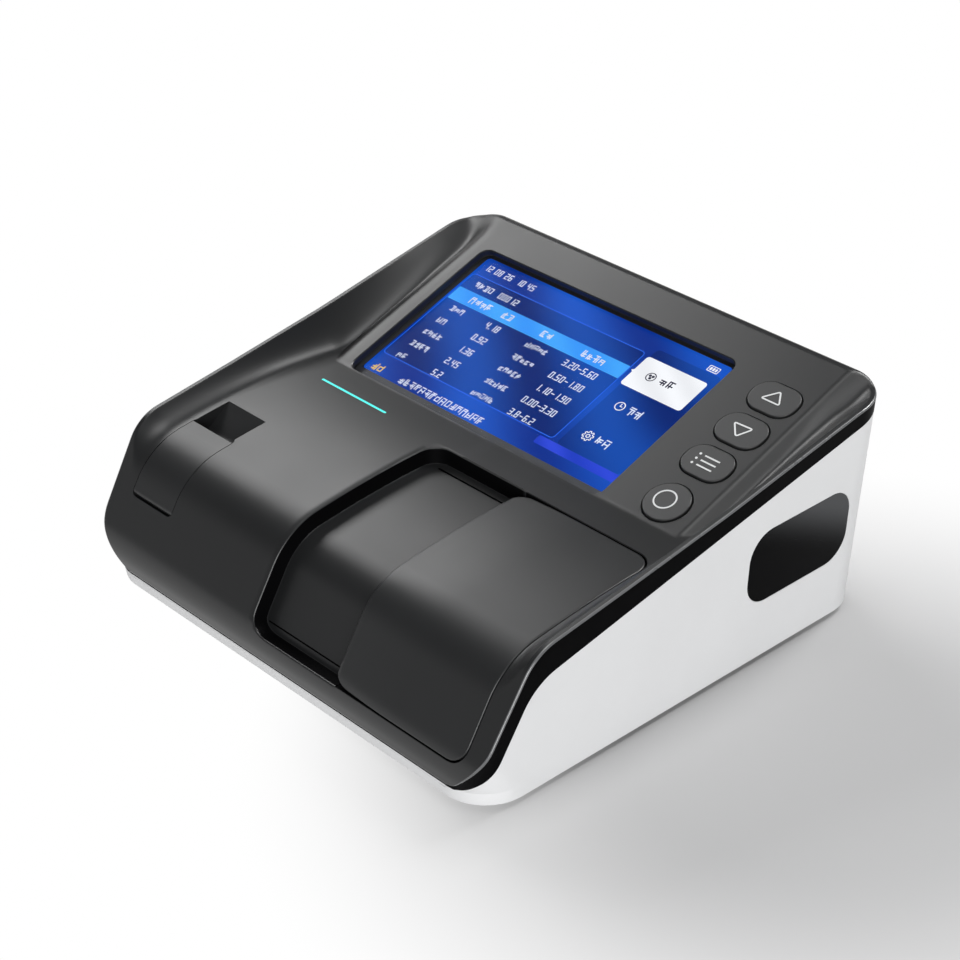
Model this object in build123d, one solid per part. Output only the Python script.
from build123d import *
import math
import os

# Desktop dry chemistry analyzer: a low wedge-shaped case with a sunken deck, a lid that slides over a
# reading chamber, a small hinged door, a display in a raised console, four keys and a side window.
# Millimetres. +X is to the right of someone facing the display, +Y to the back, +Z up.
# Everything is drawn with z = 0 at the underside of the lower shell and lifted by FOOT_STAND when it
# is saved, so that the saved parts stand on z = 0.

# Case
CASE_WIDTH = 176.0
CASE_DEPTH = 165.0
CORNER_RADIUS = 15.0
SIDE_LEAN = 0.045
BACK_LEAN = 0.0285
STRIP_HEIGHT = 4.4
STRIP_LEAN = 0.18
TRAY_LEAN = 0.65
WALL = 2.2
FLOOR = 2.6
FOOT_STAND = 2.0
STOCK_TOP = 95.0
STOCK_FRONT = -110.0
HALF_WIDTH = CASE_WIDTH / 2
HALF_DEPTH = CASE_DEPTH / 2

# Side profile of the face and deck, as (y, z) corners with the radius at each inner corner
FACE_SLOPE = 1.667
STRIP_TOP = (-83.3, STRIP_HEIGHT)
CHIN = (-85.5, 13.3)
CHIN_RADIUS = 14.0


def on_face(height):
    """Point (y, z) on the straight part of the front face, at a height."""
    return (CHIN[0] + (height - CHIN[1]) / FACE_SLOPE, height)


DECK_BEND = on_face(42.5)
DECK_CREST = (-28.1, 48.3)
DECK = [STRIP_TOP, CHIN, DECK_BEND, DECK_CREST, (24.0, 48.75)]
DECK_RADII = [CHIN_RADIUS, 25.0, 360.0]

# Rim that stands round the deck, and the valley between the rim and the console
RIM_BEND = on_face(47.7)
RIM_BACK = (84.8, 73.8)
RIM = [STRIP_TOP, CHIN, RIM_BEND, (-28.1, 53.6), (11.9, 60.4), (70.0, 72.3), RIM_BACK]
RIM_RADII = [CHIN_RADIUS, 16.0, 300.0, 300.0, 60.0]
VALLEY = [on_face(30.0), DECK_BEND, DECK_CREST, (11.9, 48.65), (66.0, 68.4), (88.0, 80.2)]
VALLEY_RADII = [25.0, 360.0, 20.0, 60.0]
COVE_FOOT = 81.8
COVE_MIDDLE = 85.5
COVE_SHARE = 0.35
RIM_INNER = 89.8
RIM_RAISE = 0.8
RIM_ROUNDING = 1.0
BACK_ROUNDING = 4.2

# Console that carries the display and the keys
CONSOLE_ANGLE = 20.04
CONSOLE_FRONT = (4.5, 48.6)
CONSOLE_LENGTH = 82.5
CONSOLE_LEFT = -75.5
CONSOLE_RIGHT = 77.0
CONSOLE_CORNER = 5.0
CONSOLE_UP = (0, -math.sin(math.radians(CONSOLE_ANGLE)), math.cos(math.radians(CONSOLE_ANGLE)))
CONSOLE = Plane(origin=(0, *CONSOLE_FRONT), x_dir=(1, 0, 0), z_dir=CONSOLE_UP)

# Line where the white lower shell meets the dark cover
SPLIT = [(-110.0, 3.2), (-83.0, 3.2), (-81.6, 8.0), (-64.4, 37.2), (110.0, 75.2)]
SPLIT_RADII = [1.5, 6.0, 18.0]

# Lid and the recess it slides in
LID_LEFT = 25.3
LID_FLUSH = 36.5
LID_RIGHT = 81.2
LID_BACK = -9.2
LID_BOTTOM = 15.6
LID_THICKNESS = 5.1
LID_SKIN = 2.0
LID_CORNER = 6.5
LID_TRAVEL = 36.0
LID_GAP = 0.4
RECESS_DEPTH = 5.5
RECESS_LEFT = -11.5
TOE_EDGE = 0.5

# Lid drive: runner blades through slots in the recess floor, a rack, a pinion and a motor
SLOT_WIDTH = 1.2
BLADE = 0.7
BACK_SLOT_Y = -12.3
BACK_SLOT = (-7.0, 44.0)
BACK_BLADE = (30.0, 42.0)
FRONT_SLOT_Z = 17.9
FRONT_SLOT = (-10.0, 42.0)
FRONT_BLADE = (27.5, 40.0)
MODULE = 1.25
PINION_TEETH = 12
PITCH_RADIUS = MODULE * PINION_TEETH / 2
PINION = (18.0, -2.5)
RACK_TOP = 40.4
RACK_HEIGHT = 4.0
RACK_BACK_Y = -13.8
RACK_PITCH_Y = PINION[1] - PITCH_RADIUS
RACK_SPAN = (12.0, 60.0)
RACK_ROOT = 1.1 * MODULE
TOOTH_HEIGHT = 0.75
TOOTH_FOOT = 1.15
TOOTH_TIP = 0.4
SHAFT_RADIUS = 1.0
MOTOR_RADIUS = 8.0
MOTOR_HEIGHT = 20.0
MOTOR_TOP = 34.0

# Reading chamber under the lid
CHAMBER = (47.0, 79.0, -63.0, -17.5)
CHAMBER_FLOOR = 19.4
TUB_WALL = 1.4
TRAY_TOP = 26.0
OPTICS = (50.0, 76.0, -52.0, -28.0)
READING_SPOT = (63.0, -40.0)

# Hinged door over the code chip, and the finger notch behind it
DOOR_LEFT = -79.6
DOOR_RIGHT = -59.8
DOOR_BOTTOM = 28.3
DOOR_BACK = -51.2
DOOR_THICKNESS = 2.0
DOOR_GAP = 0.25
HINGE_INSET = 1.8
PIN_RADIUS = 1.0
PIN_REACH = 2.6
NOTCH = [(-50.9, 60.0), (-50.9, 39.4), (-46.5, 39.4), (-36.0, 47.3), (-30.0, 60.0)]
NOTCH_RADII = [1.5, 6.0, 3.0]
NOTCH_SIDES = (-79.4, -60.6)
BAY = (-79.0, -60.4, -70.0, -54.5)
BAY_FLOOR = 24.0
BAY_WALL = 1.1
BAY_INSET = 3.4
EAR_REACH = 2.6

# Display, key column and light bar
WINDOW = (-69.2, 44.6, 0.0, 66.0)
WINDOW_CORNER = 3.5
LENS_DEPTH = 3.0
LENS_THICKNESS = 1.2
LENS_LAP = 2.5
PANEL_THICKNESS = 3.6
KEY_X = 65.0
KEY_PLACES = {"key_round": 9.2, "key_menu": 27.6, "key_down": 43.2, "key_up": 58.6}
KEY_SIZE = (17.4, 12.4)
KEY_ROUND_DIAMETER = 15.0
KEY_CORNER = 5.8
KEY_GAP = 0.3
KEY_PROUD = 0.6
KEY_FLANGE = 0.8
KEY_TRAVEL = 0.8
FLANGE_TOP = WALL + 0.3
KEY_BOTTOM = WALL + 1.3
MAT_TOP = KEY_BOTTOM + KEY_TRAVEL + 0.1
MAT_THICKNESS = 0.6
SWITCH_BODY_HEIGHT = 2.4
KEYPAD_HALF_WIDTH = 9.5
LIGHT_BAR = (-68.1, -36.8)
LIGHT_BAR_Y = -7.4
LIGHT_BAR_WIDTH = 0.9

# Side window
SIDE_WINDOW_CENTRE = (45.6, 33.7)
SIDE_WINDOW_SIZE = (45.3, 25.3)
SIDE_WINDOW_CORNER = 9.0
SIDE_WINDOW_THICKNESS = 1.8

# Fasteners, feet and boards
SCREW_PLACES = [(-40.0, -72.0), (60.0, -72.0), (-78.0, 73.5), (78.0, 73.5)]
SCREW_TOP = {-72.0: 14.0, 73.5: 40.0}
COVER_POST_TOP = {-72.0: 30.0, 73.5: 75.0}
POST_RADIUS = 4.0
SCREW_RADIUS = 1.45
SCREW_HEAD_RADIUS = 2.8
FOOT_PLACES = [(-66.0, -60.0), (66.0, -60.0), (-62.0, 60.0), (62.0, 60.0)]
FOOT_RADIUS = 6.5
FOOT_SEAT = 0.8
BATTERY = (-48.0, 22.0, -58.0, -21.0)
BATTERY_CELL_RADIUS = 9.1
BATTERY_DOOR = (-53.0, 27.0, -62.5, -16.5)
BOARD = (-66.0, 62.0, 14.0, 76.0)
BOARD_UNDERSIDE = 10.0
BOARD_THICKNESS = 1.6
BOARD_SCREWS = [(-60.0, 20.0), (56.0, 20.0), (-60.0, 68.0), (56.0, 68.0)]
BOARD_CHIPS = [(-20.0, 40.0, 14.0, 14.0, 1.6), (20.0, 50.0, 18.0, 12.0, 1.6), (-46.0, 46.0, 8.0, 10.0, 6.0),
               (40.0, 34.0, 10.0, 6.0, 4.0), (0.0, 60.0, 6.0, 6.0, 1.2)]
HATCH_TOP = 1.4
SPEAKER = (-70.0, -12.0)
SPEAKER_RADIUS = 11.0
SOUND_SLOT_STEP = 3.2

# Rear panel with its inlet, port and power switch
REAR_PANEL = (-44.0, 44.0, 10.6, 36.0)
PANEL_FRONT_Y = 80.4
PANEL_PLATE = 2.0
INLET_X = -31.0
PORT_X = -10.0
SWITCH_X = 30.0
SWITCH_Z = 23.0
SWITCH_SIZE = (14.0, 20.0)
ROCKER_Y = 78.6
ROCKER_THROW = 16.0
PIVOT_RADIUS = 1.2
INLET_Z = 17.1
INLET_RADIUS = 4.0
PORT_Z = (11.4, 22.8)
CONNECTOR_HEIGHT = 11.0
VENT_X = -37.0
VENT_STEP = 5.0
VENT_COUNT = 8
VENT_HALF_WIDTH = 0.8
VENT_Z = (26.0, 33.0)


def span_box(x0, x1, y0, y1, z0, z1):
    """Box between two corners."""
    return Pos((x0 + x1) / 2, (y0 + y1) / 2, (z0 + z1) / 2) * Box(x1 - x0, y1 - y0, z1 - z0)


def upright(x, y, z0, z1, radius):
    """Vertical cylinder between two heights."""
    return Pos(x, y, (z0 + z1) / 2) * Cylinder(radius, z1 - z0)


def along_x(x0, x1, y, z, radius):
    """Cylinder along X."""
    return Pos((x0 + x1) / 2, y, z) * Rot(0, 90, 0) * Cylinder(radius, x1 - x0)


def along_y(y0, y1, x, z, radius):
    """Cylinder along Y."""
    return Pos(x, (y0 + y1) / 2, z) * Rot(90, 0, 0) * Cylinder(radius, y1 - y0)


def inset_outline(points, radii, depth):
    """Move an open (y, z) outline inward by depth. Bends tighten, down to sharp, and hollows open."""
    runs = [(Vector(*b) - Vector(*a)).normalized() for a, b in zip(points, points[1:])]
    inward = [Vector(run.Y, -run.X) for run in runs]
    moved = [Vector(*points[0]) + inward[0] * depth]
    new_radii = []
    for corner, before, after, radius in zip(points[1:-1], inward, inward[1:], radii):
        moved.append(Vector(*corner) + (before + after) * (depth / (1 + before.dot(after))))
        hollow = before.cross(after).Z > 0
        new_radii.append(radius + depth if hollow else max(radius - depth, 0.0))
    moved.append(Vector(*points[-1]) + inward[-1] * depth)
    return [(p.X, p.Y) for p in moved], new_radii


def side_face(points, radii, closing, x):
    """Face in the plane at x, between a filleted (y, z) outline and the closing points."""
    outline = FilletPolyline(*points, radius=radii)
    rest = Polyline(points[-1], *closing, points[0])
    return Plane.YZ.offset(x) * make_face(outline.edges() + rest.edges())


def across(points, radii, closing, x0, x1):
    """Solid of one side profile between two places across the case."""
    return extrude(side_face(points, radii, closing, x0), x1 - x0, dir=(1, 0, 0))


def plan_outline(half_width, front, back, z, radius):
    """Rounded plan outline of the case at a height."""
    depth = back - front
    outline = RectangleRounded(2 * half_width, depth, radius)
    return Pos(0, (front + back) / 2, z) * outline


def tray(inset=0.0):
    """The case as it is in plan: leaning walls with round corners, before the profile is cut."""
    sections = []
    for z in (0.0, STRIP_HEIGHT, STOCK_TOP):
        strip = min(z, STRIP_HEIGHT)
        front = -HALF_DEPTH - STRIP_LEAN * strip - TRAY_LEAN * (z - strip)
        half_width = HALF_WIDTH + SIDE_LEAN * z
        back = HALF_DEPTH + BACK_LEAN * z
        corner = CORNER_RADIUS - inset
        sections.append(plan_outline(half_width - inset, front + inset, back - inset, z, corner))
    return loft(sections, ruled=True)


def under_rim(inset=0.0):
    """Everything behind the face and under the rim line."""
    points = RIM + [(RIM_BACK[0], 20.0)]
    radii = RIM_RADII + [RIM_ROUNDING]
    points, radii = inset_outline(points, radii, inset)
    closing = [(points[-1][0], -10.0), (STOCK_FRONT, -10.0), (STOCK_FRONT, points[0][1])]
    return across(points, radii, closing, -STOCK_TOP, STOCK_TOP)


def sunken_deck(inset=0.0):
    """The space over the deck and the valley, with sloping cove sides up to the rim."""
    rim = [on_face(30.0)] + [(y, z + RIM_RAISE) for y, z in RIM[2:]]
    rim_radii = RIM_RADII[1:]
    middle = [
        (low[0] + COVE_SHARE * (high[0] - low[0]), low[1] + COVE_SHARE * (high[1] - low[1]))
        for low, high in zip(VALLEY, rim)
    ]
    middle_radii = [low + COVE_SHARE * (high - low) for low, high in zip(VALLEY_RADII, rim_radii)]
    places = [
        (COVE_FOOT, VALLEY, VALLEY_RADII),
        (COVE_MIDDLE, middle, middle_radii),
        (RIM_INNER, rim, rim_radii),
    ]
    skin = inset - 0.05
    space = None
    for side in (-1, 1):
        faces = []
        for x, points, radii in places:
            points, radii = inset_outline(points, radii, skin)
            closing = [(points[-1][0], STOCK_TOP), (STOCK_FRONT, STOCK_TOP), (STOCK_FRONT, points[0][1])]
            faces.append(side_face(points, radii, closing, side * x))
        cove = loft(faces[:2], ruled=True) + loft(faces[1:], ruled=True)
        space = cove if space is None else space + cove
    points, radii = inset_outline(VALLEY, VALLEY_RADII, skin)
    closing = [(points[-1][0], STOCK_TOP), (STOCK_FRONT, STOCK_TOP), (STOCK_FRONT, points[0][1])]
    return space + across(points, radii, closing, -COVE_FOOT, COVE_FOOT)


def console_block(inset=0.0):
    """The raised console, from under the deck up to its sloping top."""
    run = Vector(math.cos(math.radians(CONSOLE_ANGLE)), math.sin(math.radians(CONSOLE_ANGLE)))
    front = Vector(*CONSOLE_FRONT) - run * 14.0
    back = Vector(*CONSOLE_FRONT) + run * (CONSOLE_LENGTH + 2.0)
    wall = (RIM_BACK[0], 60.0)
    points = [(front.X, front.Y), (back.X, back.Y), wall]
    points, radii = inset_outline(points, [BACK_ROUNDING], inset)
    closing = [(wall[0] - inset, 36.0), (front.X, 36.0)]
    block = across(points, radii, closing, CONSOLE_LEFT + inset, CONSOLE_RIGHT - inset)
    width = CONSOLE_RIGHT - CONSOLE_LEFT - 2 * inset
    front_y = CONSOLE_FRONT[0] - 1.5 + inset
    plan = Pos((CONSOLE_LEFT + CONSOLE_RIGHT) / 2, front_y + 50.0) * RectangleRounded(
        width, 100.0, CONSOLE_CORNER)
    return block & extrude(plan, STOCK_TOP)


def case_form(inset=0.0):
    """The whole case as one solid, or the same form smaller by a wall."""
    body = tray(inset) & under_rim(inset)
    body -= sunken_deck(inset)
    return body + (console_block(inset) & tray(inset))


def below_split():
    """Everything under the line where the shell meets the cover."""
    return across(SPLIT, SPLIT_RADII, [(110.0, -20.0), (-110.0, -20.0)], -STOCK_TOP, STOCK_TOP)


def shell_region():
    """Where the white lower shell is: the outer walls under the split line, and the floor."""
    inner = tray(WALL) & span_box(-STOCK_TOP, STOCK_TOP, -120, 120, FLOOR, STOCK_TOP)
    return below_split() - inner


def deck_layer(outer, inner, x0, x1):
    """Layer that follows the face and deck between two depths, from x0 to x1."""
    top, top_radii = inset_outline(DECK, DECK_RADII, outer)
    low, low_radii = inset_outline(DECK, DECK_RADII, inner)
    top_line = FilletPolyline(*top, radius=top_radii)
    low_line = FilletPolyline(*low, radius=low_radii)
    ends = [Edge.make_line(Vector(*top[i]), Vector(*low[i])) for i in (0, -1)]
    face = make_face(top_line.edges() + low_line.edges() + ends)
    return extrude(Plane.YZ.offset(x0) * face, x1 - x0, dir=(1, 0, 0))


def below_deck(depth, x0, x1):
    """Everything deeper than a depth under the face and deck, from x0 to x1."""
    points, radii = inset_outline(DECK, DECK_RADII, depth)
    return across(points, radii, [(points[-1][0], -10.0), (points[0][0], -10.0)], x0, x1)


def round_trim(x0, x1, back, bottom, corner):
    """Block that trims a layer to a rounded outline, seen from above on the deck and from the front."""
    middle = (x0 + x1) / 2
    plan = Pos(middle, back - 100.0) * RectangleRounded(x1 - x0, 200.0, corner)
    front = Pos(middle, 0, bottom + 100.0) * Rot(90, 0, 0) * RectangleRounded(x1 - x0, 200.0, corner)
    upward = Pos(0, 0, -10.0) * extrude(plan, 200.0)
    forward = Pos(0, 100.0, 0) * extrude(front, 300.0, dir=(0, -1, 0))
    return upward & forward


def face_frame(height):
    """Plane on the front face at a height: X across, Z straight out of the face."""
    point = Vector(0, *on_face(height))
    tangent = Vector(0, 1, FACE_SLOPE).normalized()
    outward = Vector(1, 0, 0).cross(tangent)
    return Plane(origin=point, x_dir=(1, 0, 0), z_dir=outward)


def console_box(x0, x1, v0, v1, depth0, depth1, corner=0.0):
    """Box square to the console: v runs up its slope, depths run down from its top."""
    middle = Pos((x0 + x1) / 2, (v0 + v1) / 2, -depth1)
    outline = RectangleRounded(x1 - x0, v1 - v0, corner) if corner else Rectangle(x1 - x0, v1 - v0)
    return CONSOLE * (middle * extrude(outline, depth1 - depth0))


def key_outline(name, grow):
    """Outline of a key cap, grown evenly."""
    if name == "key_round":
        return Circle(KEY_ROUND_DIAMETER / 2 + grow)
    return RectangleRounded(KEY_SIZE[0] + 2 * grow, KEY_SIZE[1] + 2 * grow, KEY_CORNER + grow)


def key_layer(name, grow, depth0, depth1):
    """Layer of a key's outline between two depths under the console's top."""
    place = Pos(KEY_X, KEY_PLACES[name], -depth1)
    return CONSOLE * (place * extrude(key_outline(name, grow), depth1 - depth0))


def hinge_point():
    """Centre of the door's hinge pin, as (y, z)."""
    frame = face_frame(DOOR_BOTTOM)
    point = frame.from_local_coords(Vector(0, HINGE_INSET, -HINGE_INSET))
    return point.Y, point.Z


def door_space(grow, outer, inner):
    """The door's layer, grown round its edges, from its hinge end to its back edge."""
    layer = deck_layer(outer, inner, DOOR_LEFT - grow, DOOR_RIGHT + grow)
    end = face_frame(DOOR_BOTTOM) * (Pos(-70.0, 50.0 + HINGE_INSET - grow, 0) * Box(60, 100, 40))
    plan = span_box(-100, -40, -100, DOOR_BACK + grow, 0, STOCK_TOP)
    return layer & end & plan


# Case shells

def shell_stock():
    """The whole hollow case, before it is parted."""
    cavity = case_form(WALL) & span_box(-STOCK_TOP, STOCK_TOP, -120, 120, FLOOR, STOCK_TOP)
    return case_form() - cavity


def side_window_prism(grow):
    """Outline of the side window pushed through the right wall."""
    width = SIDE_WINDOW_SIZE[0] + 2 * grow
    height = SIDE_WINDOW_SIZE[1] + 2 * grow
    outline = RectangleRounded(width, height, SIDE_WINDOW_CORNER + grow)
    placed = Plane.YZ.offset(84.0) * (Pos(*SIDE_WINDOW_CENTRE) * outline)
    return extrude(placed, 12.0, dir=(1, 0, 0))


def base_shell(stock):
    """White lower shell with its floor, posts, rear opening, window opening and battery bay."""
    shell = stock & shell_region()
    for x, y in SCREW_PLACES:
        shell += upright(x, y, 0.5, SCREW_TOP[y], POST_RADIUS)
    for x, y in BOARD_SCREWS:
        shell += upright(x, y, 1.0, BOARD_UNDERSIDE, 3.0)
    for x, y in SCREW_PLACES:
        shell -= upright(x, y, -1, SCREW_TOP[y] + 1, SCREW_RADIUS + 0.15)
        shell -= upright(x, y, -1, 2.4, SCREW_HEAD_RADIUS + 0.3)
    for x, y in BOARD_SCREWS:
        shell -= upright(x, y, 3.6, BOARD_UNDERSIDE + 1, 1.05)
    for x, y in FOOT_PLACES:
        shell -= upright(x, y, -1, FOOT_SEAT, FOOT_RADIUS + 0.1)
    x0, x1, y0, y1 = BATTERY_DOOR
    shell -= span_box(x0, x1, y0, y1, -1, HATCH_TOP)
    shell -= span_box(x0 + 2, x1 - 2, y0 + 2, y1 - 2, -1, FLOOR + 1)
    x0, x1, z0, z1 = REAR_PANEL
    shell -= span_box(x0, x1, 70, 100, z0, z1)
    shell -= side_window_prism(0.15)
    x, y = SPEAKER
    for i in range(-2, 3):
        middle = y + SOUND_SLOT_STEP * i
        shell -= span_box(x - 7, x + 7, middle - 0.7, middle + 0.7, -1, FLOOR + 1)
    return shell


def recess_form(grow, depth):
    """The recess that the lid slides in, as a solid from outside down to a depth."""
    x0 = RECESS_LEFT - grow
    x1 = LID_RIGHT + LID_GAP + grow
    trim = round_trim(x0, x1, LID_BACK + LID_GAP + grow, LID_BOTTOM - LID_GAP - grow,
                      LID_CORNER + LID_GAP + grow)
    return deck_layer(-8.0, depth, x0, x1) & trim


def notch_form(grow):
    """The finger notch behind the door, grown by a wall."""
    points, radii = inset_outline(NOTCH, NOTCH_RADII, grow)
    radii = [NOTCH_RADII[0] + grow, NOTCH_RADII[1] + grow, NOTCH_RADII[2]]
    return across(points, radii, [], NOTCH_SIDES[0] - grow, NOTCH_SIDES[1] + grow)


def hinge_ears():
    """Blocks inside the cover that hold the ends of the door's hinge pin."""
    y, z = hinge_point()
    left = DOOR_LEFT - DOOR_GAP
    right = DOOR_RIGHT + DOOR_GAP
    block = (y - EAR_REACH, y + EAR_REACH, z - EAR_REACH, z + EAR_REACH)
    return span_box(left - PIN_REACH - 1, left, *block) + span_box(right, right + PIN_REACH + 1, *block)


def slots():
    """The two slots in the recess floor for the lid's runner blades."""
    back = span_box(BACK_SLOT[0], BACK_SLOT[1], BACK_SLOT_Y - SLOT_WIDTH / 2, BACK_SLOT_Y + SLOT_WIDTH / 2,
                    36, 50)
    middle = (FRONT_SLOT[0] + FRONT_SLOT[1]) / 2
    length = FRONT_SLOT[1] - FRONT_SLOT[0]
    front = face_frame(FRONT_SLOT_Z) * (Pos(middle, 0, -7) * Box(length, SLOT_WIDTH, 8))
    return back + front


def top_cover(stock):
    """Dark upper cover: rim, deck, recess, door opening, notch and console."""
    region = shell_region()
    cover = stock - region
    inside = case_form(0.6) - region
    cover += recess_form(WALL, RECESS_DEPTH + WALL) & inside
    cover += notch_form(WALL) & inside
    cover += hinge_ears() & inside
    for x, y in SCREW_PLACES:
        top = COVER_POST_TOP[y]
        cover += upright(x, y, SCREW_TOP[y], top, POST_RADIUS) & inside
    cover -= recess_form(0.0, RECESS_DEPTH)
    x0, x1, y0, y1 = CHAMBER
    opening = RectangleRounded(x1 - x0 - 2, y1 - y0 - 2, 3)
    cover -= Pos((x0 + x1) / 2, (y0 + y1) / 2, 20) * extrude(opening, 60)
    cover -= slots()
    cover -= notch_form(0.0)
    cover -= door_space(DOOR_GAP, -2.0, 6.0)
    y, z = hinge_point()
    cover -= along_x(DOOR_LEFT - DOOR_GAP - PIN_REACH, DOOR_RIGHT + DOOR_GAP + PIN_REACH, y, z, PIN_RADIUS)
    cover -= along_x(DOOR_LEFT - DOOR_GAP, DOOR_RIGHT + DOOR_GAP, y, z, HINGE_INSET + DOOR_GAP)
    cover -= console_box(*WINDOW, -6, 12, WINDOW_CORNER)
    x0, x1, v0, v1 = WINDOW
    seat = LENS_LAP + 0.2
    cover -= console_box(x0 - seat, x1 + seat, v0 - seat, v1 + seat, WALL, 12, 4)
    for name in KEY_PLACES:
        cover -= key_layer(name, KEY_GAP, -6, 6)
    half = LIGHT_BAR_WIDTH / 2 + 0.05
    cover -= span_box(LIGHT_BAR[0] - 0.1, LIGHT_BAR[1] + 0.1, LIGHT_BAR_Y - half, LIGHT_BAR_Y + half, 40, 60)
    for x, y in SCREW_PLACES:
        cover -= upright(x, y, SCREW_TOP[y] - 1, SCREW_TOP[y] + 8, SCREW_RADIUS + 0.05)
    return cover


def base_feet():
    """Four round rubber feet, each with a slight dish underneath."""
    feet = []
    for x, y in FOOT_PLACES:
        foot = upright(x, y, -FOOT_STAND, FOOT_SEAT, FOOT_RADIUS)
        foot = fillet(foot.edges().filter_by(GeomType.CIRCLE).sort_by(Axis.Z)[0], 0.6)
        feet.append(foot)
    return feet


def base_screws():
    """Case screws, driven up through the shell's posts into the cover's."""
    screws = []
    for x, y in SCREW_PLACES:
        screw = upright(x, y, 0.6, 2.3, SCREW_HEAD_RADIUS)
        screw += upright(x, y, 2.3, SCREW_TOP[y] + 6, SCREW_RADIUS)
        for turn in (0, 90):
            screw -= Pos(x, y, 0.6) * Rot(0, 0, turn) * Box(3.2, 0.7, 1.8)
        screws.append(screw)
    return screws


def battery_cover():
    """Hatch over the battery bay, with a finger groove."""
    x0, x1, y0, y1 = BATTERY_DOOR
    hatch = span_box(x0 + 0.25, x1 - 0.25, y0 + 0.25, y1 - 0.25, 0.1, HATCH_TOP)
    for i in range(4):
        hatch -= span_box(x0 + 6 + 2.4 * i, x0 + 7.2 + 2.4 * i, -46, -33, -1, 0.7)
    return hatch


def battery_pack():
    """Two round cells side by side in one wrap."""
    x0, x1, y0, y1 = BATTERY
    height = 3.0 + BATTERY_CELL_RADIUS
    cells = along_x(x0, x1, y0 + BATTERY_CELL_RADIUS, height, BATTERY_CELL_RADIUS)
    cells += along_x(x0, x1, y1 - BATTERY_CELL_RADIUS, height, BATTERY_CELL_RADIUS)
    between = (y0 + BATTERY_CELL_RADIUS, y1 - BATTERY_CELL_RADIUS)
    return cells + span_box(x0 + 2, x1 - 2, *between, height - 7.5, height + 7.5)


# Lid and its drive

def lid():
    """Sliding lid: flush with the deck, with a ramp down to the recess floor at its left edge."""
    right = deck_layer(0, LID_THICKNESS, LID_FLUSH, LID_RIGHT)
    sections = []
    for x, outer in ((LID_LEFT, LID_THICKNESS - TOE_EDGE), (LID_FLUSH, 0.0)):
        top, top_radii = inset_outline(DECK, DECK_RADII, outer)
        low, low_radii = inset_outline(DECK, DECK_RADII, LID_THICKNESS)
        edges = FilletPolyline(*top, radius=top_radii).edges()
        edges += FilletPolyline(*low, radius=low_radii).edges()
        edges += [Edge.make_line(Vector(*top[i]), Vector(*low[i])) for i in (0, -1)]
        sections.append(Plane.YZ.offset(x) * make_face(edges))
    body = right + loft(sections, ruled=True)
    body &= round_trim(LID_LEFT, LID_RIGHT, LID_BACK, LID_BOTTOM, LID_CORNER)
    hollow = deck_layer(LID_SKIN, LID_THICKNESS + 1, LID_FLUSH + 1, LID_RIGHT - 1.6)
    hollow &= round_trim(LID_FLUSH + 1, LID_RIGHT - 1.6, LID_BACK - 1.6, LID_BOTTOM + 1.6, LID_CORNER - 1.6)
    return body - hollow


def front_blade():
    """Front runner: a blade through the face's slot, with a foot under the recess floor."""
    middle = sum(FRONT_BLADE) / 2
    length = FRONT_BLADE[1] - FRONT_BLADE[0]
    top = LID_THICKNESS
    foot = RECESS_DEPTH + WALL + 0.3
    shape = Pos(middle, 0, -(top + foot) / 2) * Box(length, BLADE, foot - top)
    shape += Pos(middle, 0, -foot - 0.5) * Box(length, 3.0, 1.0)
    return face_frame(FRONT_SLOT_Z) * shape


def lid_runners():
    """Blades that hang from the lid through the slots."""
    lid_under = below_deck(LID_THICKNESS, *BACK_BLADE)
    back = span_box(*BACK_BLADE, BACK_SLOT_Y - BLADE / 2, BACK_SLOT_Y + BLADE / 2, RACK_TOP, 50)
    return [back & lid_under, front_blade()]


def lid_rack():
    """Straight rack fixed under the back runner, with its teeth to the back."""
    root_y = RACK_PITCH_Y - RACK_ROOT
    tip_y = RACK_PITCH_Y + TOOTH_HEIGHT
    bottom = RACK_TOP - RACK_HEIGHT
    rack = span_box(*RACK_SPAN, RACK_BACK_Y, root_y, bottom, RACK_TOP)
    pitch = math.pi * MODULE
    count = int((RACK_SPAN[1] - RACK_SPAN[0]) / pitch / 2)
    for i in range(-count, count + 3):
        x = PINION[0] + pitch * (i + 0.5)
        if RACK_SPAN[0] + TOOTH_FOOT < x < RACK_SPAN[1] - TOOTH_FOOT:
            tooth = Polyline((x - TOOTH_FOOT, root_y - 0.1), (x - TOOTH_TIP, tip_y), (x + TOOTH_TIP, tip_y),
                             (x + TOOTH_FOOT, root_y - 0.1), close=True)
            rack += Pos(0, 0, bottom) * extrude(make_face(tooth.edges()), RACK_HEIGHT)
    return rack


def lid_pinion():
    """Twelve-tooth pinion, bored for its shaft, with a tooth pointing at the rack."""
    root = PITCH_RADIUS - 1.15 * MODULE
    tip = PITCH_RADIUS + TOOTH_HEIGHT
    height = RACK_HEIGHT - 0.4
    gear = Cylinder(root, height)
    flank = [(root - 0.4, -1.05), (tip, -TOOTH_TIP), (tip, TOOTH_TIP), (root - 0.4, 1.05)]
    tooth = Polyline(*flank, close=True)
    blade = Pos(0, 0, -height / 2) * extrude(make_face(tooth.edges()), height)
    for i in range(PINION_TEETH):
        gear += Rot(0, 0, -90 + 360 * i / PINION_TEETH) * blade
    gear += Pos(0, 0, 3.0) * Cylinder(3.2, 3.0)
    gear = Pos(*PINION, RACK_TOP - RACK_HEIGHT / 2) * gear
    return gear - upright(*PINION, 20, 60, SHAFT_RADIUS)


def pinion_shaft():
    """Steel shaft from the motor up through the pinion."""
    return upright(*PINION, MOTOR_TOP - 8, RACK_TOP + 2.4, SHAFT_RADIUS)


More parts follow.
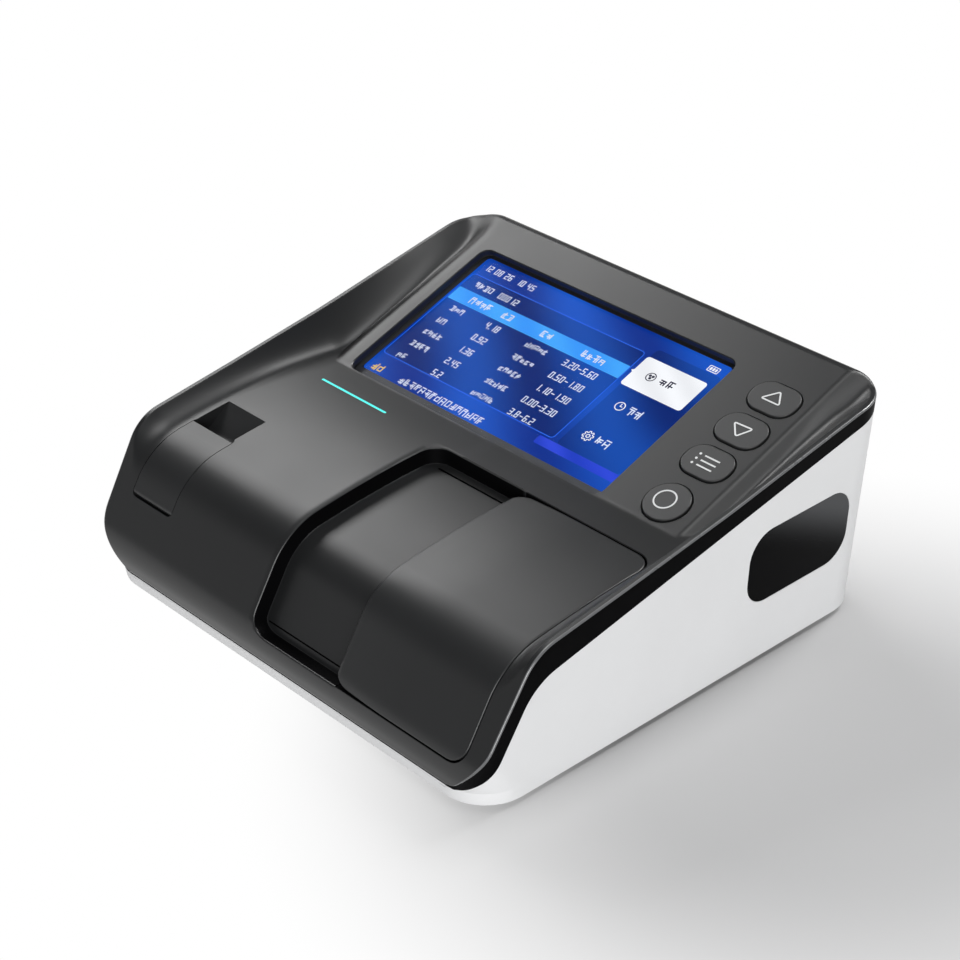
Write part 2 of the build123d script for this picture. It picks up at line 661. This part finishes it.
def lid_motor():
    """Round geared motor standing on end."""
    motor = upright(*PINION, MOTOR_TOP - MOTOR_HEIGHT, MOTOR_TOP, MOTOR_RADIUS)
    motor += upright(*PINION, MOTOR_TOP, MOTOR_TOP + 1.2, 3.0)
    return motor - upright(*PINION, MOTOR_TOP - 9, MOTOR_TOP + 2, SHAFT_RADIUS + 0.05)


def motor_bracket():
    """Bent plate over the motor, standing on two legs."""
    x, y = PINION
    plate = span_box(x - 14, x + 14, y - 6, y + 6, MOTOR_TOP, MOTOR_TOP + 1.2)
    for middle in (x - 13.4, x + 13.4):
        plate += span_box(middle - 0.6, middle + 0.6, y - 6, y + 6, FLOOR, MOTOR_TOP + 1.2)
    return plate - upright(x, y, MOTOR_TOP - 1, MOTOR_TOP + 3, 3.05)


# Reading chamber

def chamber_tub():
    """Open tub that hangs under the recess floor."""
    x0, x1, y0, y1 = CHAMBER
    w = TUB_WALL
    outer = span_box(x0 - w, x1 + w, y0 - w, y1 + w, CHAMBER_FLOOR - w, 60)
    tub = outer & below_deck(RECESS_DEPTH + WALL, x0 - w, x1 + w)
    tub -= span_box(x0, x1, y0, y1, CHAMBER_FLOOR, 70)
    return tub - upright(*READING_SPOT, 0, 40, 6.0)


def card_tray():
    """Tray that holds the test slide over the reading window."""
    x0, x1, y0, y1 = CHAMBER
    tray_body = span_box(x0 + 2, x1 - 2, y0 + 3, y1 - 3, CHAMBER_FLOOR, TRAY_TOP)
    tray_body -= span_box(x0 + 5.5, x1 - 5.5, y0 + 8, y1 + 5, TRAY_TOP - 2.2, TRAY_TOP + 1)
    return tray_body - upright(*READING_SPOT, 0, 40, 4.5)


def optics_block():
    """Optical block under the reading spot."""
    block = span_box(*OPTICS, FLOOR, CHAMBER_FLOOR - TUB_WALL)
    return block - upright(*READING_SPOT, 8, 30, 4.0)


def optics_window():
    """Clear disc set in the tub's floor."""
    return upright(*READING_SPOT, CHAMBER_FLOOR - TUB_WALL, CHAMBER_FLOOR, 5.9)


# Code chip bay

def chip_door():
    """Curved door over the chip bay, with its hinge barrel along the lower edge."""
    door = door_space(0.0, 0.0, DOOR_THICKNESS)
    y, z = hinge_point()
    door += along_x(DOOR_LEFT, DOOR_RIGHT, y, z, HINGE_INSET)
    return door - along_x(DOOR_LEFT - 1, DOOR_RIGHT + 1, y, z, PIN_RADIUS + 0.05)


def chip_door_pin():
    """Steel hinge pin held by the cover's ears."""
    y, z = hinge_point()
    return along_x(DOOR_LEFT - DOOR_GAP - PIN_REACH, DOOR_RIGHT + DOOR_GAP + PIN_REACH, y, z, PIN_RADIUS)


def chip_bay():
    """Small open box under the door."""
    x0, x1, y0, y1 = BAY
    w = BAY_WALL
    outer = span_box(x0 - w, x1 + w, y0 - w, y1 + w, BAY_FLOOR - w, 60)
    outer &= below_deck(BAY_INSET, x0 - w, x1 + w)
    return outer - span_box(x0, x1, y0, y1, BAY_FLOOR, 70)


def chip_socket():
    """Contact socket on the bay's floor."""
    x = (BAY[0] + BAY[1]) / 2
    y = (BAY[2] + BAY[3]) / 2
    block = span_box(x - 7.5, x + 7.5, y - 4, y + 4, BAY_FLOOR, BAY_FLOOR + 4)
    return block - span_box(x - 6, x + 6, y - 1.1, y + 1.1, BAY_FLOOR + 1, BAY_FLOOR + 5)


def code_chip():
    """Plug-in chip that carries a batch's settings."""
    x = (BAY[0] + BAY[1]) / 2
    y = (BAY[2] + BAY[3]) / 2
    chip = span_box(x - 5.8, x + 5.8, y - 1.0, y + 1.0, BAY_FLOOR + 1, BAY_FLOOR + 5)
    return chip + span_box(x - 7, x + 7, y - 1.8, y + 1.8, BAY_FLOOR + 4, BAY_FLOOR + 12)


# Display and keys

def display_lens():
    """Clear front plate of the display, under the window's edge."""
    x0, x1, v0, v1 = WINDOW
    lap = LENS_LAP
    return console_box(x0 - lap, x1 + lap, v0 - lap, v1 + lap, LENS_DEPTH, LENS_DEPTH + LENS_THICKNESS, 4)


def display_gasket():
    """Foam frame between the console and the lens."""
    x0, x1, v0, v1 = WINDOW
    lap = LENS_LAP
    frame = console_box(x0 - lap, x1 + lap, v0 - lap, v1 + lap, WALL, LENS_DEPTH, 4)
    return frame - console_box(x0 - 0.4, x1 + 0.4, v0 - 0.4, v1 + 0.4, 0, 6, WINDOW_CORNER)


def display_panel():
    """Five-inch wide-format panel behind the lens."""
    x0, x1, v0, v1 = WINDOW
    top = LENS_DEPTH + LENS_THICKNESS
    return console_box(x0 - 2, x1 + 2, v0 - 2, v1 + 2, top, top + PANEL_THICKNESS)


def display_flex():
    """Flat cable from the panel down to the main board."""
    top = CONSOLE.from_local_coords(Vector(0, 20, -(LENS_DEPTH + LENS_THICKNESS + PANEL_THICKNESS)))
    board = BOARD_UNDERSIDE + BOARD_THICKNESS
    points = [(top.Y, top.Z), (top.Y + 1.5, top.Z - 8), (29.0, 26.0), (29.0, board)]
    radii = [4.0, 8.0]
    inner, _ = inset_outline(points, radii, -0.3)
    outline = FilletPolyline(*points, radius=radii).edges()
    outline += FilletPolyline(*inner, radius=radii).edges()
    ends = [Edge.make_line(Vector(*points[i]), Vector(*inner[i])) for i in (0, -1)]
    return extrude(Plane.YZ.offset(-24.0) * make_face(outline + ends), 20.0, dir=(1, 0, 0))


def light_pipe():
    """Light bar let into the deck, with a flange under it."""
    half = LIGHT_BAR_WIDTH / 2
    bar = span_box(LIGHT_BAR[0], LIGHT_BAR[1], LIGHT_BAR_Y - half, LIGHT_BAR_Y + half, 44, 60)
    bar &= below_deck(0.0, LIGHT_BAR[0], LIGHT_BAR[1])
    flange = span_box(LIGHT_BAR[0] - 1, LIGHT_BAR[1] + 1, LIGHT_BAR_Y - 2, LIGHT_BAR_Y + 2, 42, 46.0)
    return bar + flange


def key(name):
    """One key: a cap through the console and a flange that stops it underneath."""
    cap = key_layer(name, 0.0, -KEY_PROUD, FLANGE_TOP)
    top = cap.faces().sort_by(Axis(CONSOLE.origin, CONSOLE.z_dir))[-1]
    cap = fillet(top.edges(), 0.4)
    return cap + key_layer(name, KEY_FLANGE, FLANGE_TOP, KEY_BOTTOM)


def key_mat():
    """Rubber mat under the keys."""
    left = KEY_X - KEYPAD_HALF_WIDTH
    right = KEY_X + KEYPAD_HALF_WIDTH
    return console_box(left, right, 0, 67, MAT_TOP, MAT_TOP + MAT_THICKNESS, 2)


def key_switches():
    """One switch under each key."""
    top = MAT_TOP + MAT_THICKNESS
    bottom = top + SWITCH_BODY_HEIGHT
    return [console_box(KEY_X - 3, KEY_X + 3, v - 3, v + 3, top, bottom) for v in KEY_PLACES.values()]


def keypad_board():
    """Circuit board under the switches."""
    top = MAT_TOP + MAT_THICKNESS + SWITCH_BODY_HEIGHT
    return console_box(KEY_X - KEYPAD_HALF_WIDTH, KEY_X + KEYPAD_HALF_WIDTH, -1, 68, top, top + 1.2)


# Boards, window and rear

def main_board():
    """Main circuit board with a few large parts on it."""
    z1 = BOARD_UNDERSIDE + BOARD_THICKNESS
    board = span_box(*BOARD, BOARD_UNDERSIDE, z1)
    for x, y, width, depth, height in BOARD_CHIPS:
        board += Pos(x, y, z1 + height / 2) * Box(width, depth, height)
    for x, y in BOARD_SCREWS:
        board -= upright(x, y, 0, 30, 1.3)
    return board


def board_screws():
    """Pan-head screws that hold the main board."""
    z = BOARD_UNDERSIDE + BOARD_THICKNESS
    return [upright(x, y, z, z + 1.4, 2.4) + upright(x, y, z - 6, z, 1.0) for x, y in BOARD_SCREWS]


def scanner_window():
    """Glossy dark window, flush in the right wall."""
    return side_window_prism(0.0) & (tray() - tray(SIDE_WINDOW_THICKNESS))


def scan_module():
    """Reader module behind the side window."""
    y, z = SIDE_WINDOW_CENTRE
    body = span_box(66, 84, y - 12, y + 12, z - 9, z + 9)
    body += along_x(84, 86, y - 5, z, 4)
    return body + along_x(84, 86, y + 6, z, 2.5)


def speaker():
    """Small round speaker on the floor."""
    x, y = SPEAKER
    return upright(x, y, FLOOR, FLOOR + 3, SPEAKER_RADIUS) + upright(x, y, FLOOR + 3, FLOOR + 5.5, 6)


def rear_panel():
    """Plate in the back of the shell, with its openings and vents."""
    x0, x1, z0, z1 = REAR_PANEL
    plate = span_box(x0 + 0.2, x1 - 0.2, PANEL_FRONT_Y, PANEL_FRONT_Y + PANEL_PLATE, z0 + 0.2, z1 - 0.2)
    plate -= along_y(70, 90, INLET_X, INLET_Z, INLET_RADIUS + 0.1)
    plate -= span_box(PORT_X - 6.2, PORT_X + 6.2, 70, 90, *PORT_Z)
    w, h = SWITCH_SIZE
    plate -= span_box(SWITCH_X - w / 2 - 0.1, SWITCH_X + w / 2 + 0.1, 70, 90, SWITCH_Z - h / 2 - 0.1,
                      SWITCH_Z + h / 2 + 0.1)
    for i in range(VENT_COUNT):
        x = VENT_X + VENT_STEP * i
        plate -= span_box(x - VENT_HALF_WIDTH, x + VENT_HALF_WIDTH, 70, 90, *VENT_Z)
    return plate


def dc_jack():
    """Power inlet with its centre pin."""
    z0 = BOARD_UNDERSIDE + BOARD_THICKNESS
    back = PANEL_FRONT_Y + PANEL_PLATE
    jack = span_box(INLET_X - 4.5, INLET_X + 4.5, 68, PANEL_FRONT_Y, z0, z0 + CONNECTOR_HEIGHT)
    jack += along_y(PANEL_FRONT_Y - 1, back, INLET_X, INLET_Z, INLET_RADIUS)
    jack -= along_y(back - 9, back + 1, INLET_X, INLET_Z, 2.9)
    return jack + along_y(back - 10, back - 1.5, INLET_X, INLET_Z, 0.95)


def usb_port():
    """Square data port with its tongue."""
    z0 = BOARD_UNDERSIDE + BOARD_THICKNESS
    back = PANEL_FRONT_Y + PANEL_PLATE
    shell = span_box(PORT_X - 6, PORT_X + 6, 66, back + 0.3, z0, z0 + CONNECTOR_HEIGHT)
    shell -= span_box(PORT_X - 5.2, PORT_X + 5.2, 71, back + 1, z0 + 0.8, z0 + 10.2)
    return shell + span_box(PORT_X - 2.8, PORT_X + 2.8, 70, back - 1, z0 + 3.9, z0 + 7.1)


def switch_housing():
    """Housing of the power switch, with pivot holes for its rocker."""
    w, h = SWITCH_SIZE
    back = PANEL_FRONT_Y + PANEL_PLATE
    box = span_box(SWITCH_X - w / 2, SWITCH_X + w / 2, 66, back, SWITCH_Z - h / 2, SWITCH_Z + h / 2)
    box -= span_box(SWITCH_X - w / 2 + 1, SWITCH_X + w / 2 - 1, 70, back + 1, SWITCH_Z - h / 2 + 0.9,
                    SWITCH_Z + h / 2 - 0.9)
    return box - along_x(SWITCH_X - w, SWITCH_X + w, ROCKER_Y, SWITCH_Z, PIVOT_RADIUS + 0.05)


def power_rocker():
    """Rocker, resting with its upper end in and its lower end out."""
    half = SWITCH_SIZE[0] / 2 - 1.3
    rocked = [(-3.0, -3.0), (2.0, -8.2), (4.1, -8.0), (3.0, 0.0), (4.1, 8.0), (2.0, 8.2), (-3.0, 3.0)]
    section = Polyline(*rocked, close=True)
    body = extrude(Plane.YZ.offset(-half) * make_face(section.edges()), 2 * half, dir=(1, 0, 0))
    body += along_x(-half - 0.9, half + 0.9, 0, 0, PIVOT_RADIUS)
    return Pos(SWITCH_X, ROCKER_Y, SWITCH_Z) * Rot(ROCKER_THROW / 2, 0, 0) * body


def save(node, solids):
    """Write one node, standing on its feet."""
    pieces = solids if isinstance(solids, list) else [solids]
    separate = [solid for piece in pieces for solid in piece.solids()]
    lifted = [Pos(0, 0, FOOT_STAND) * solid for solid in separate]
    shape = lifted[0] if len(lifted) == 1 else Compound(lifted)
    export_step(shape, f"parts/{node}.step")
    print(node, len(lifted), "solids", [round(value, 1) for value in shape.bounding_box().min],
          [round(value, 1) for value in shape.bounding_box().max])


os.makedirs("parts", exist_ok=True)
stock = shell_stock()
save("base_shell", base_shell(stock))
save("top_cover", top_cover(stock))
for make in (base_feet, base_screws, battery_cover, battery_pack, lid, lid_runners, lid_rack, lid_pinion,
             pinion_shaft, lid_motor, motor_bracket, chamber_tub, card_tray, optics_block, optics_window,
             chip_door, chip_door_pin, chip_bay, chip_socket, code_chip, display_lens, display_gasket,
             display_panel, display_flex, light_pipe, key_mat, key_switches, keypad_board, main_board,
             board_screws, scanner_window, scan_module, speaker, rear_panel, dc_jack, usb_port,
             switch_housing, power_rocker):
    save(make.__name__, make())
for name in KEY_PLACES:
    save(name, key(name))
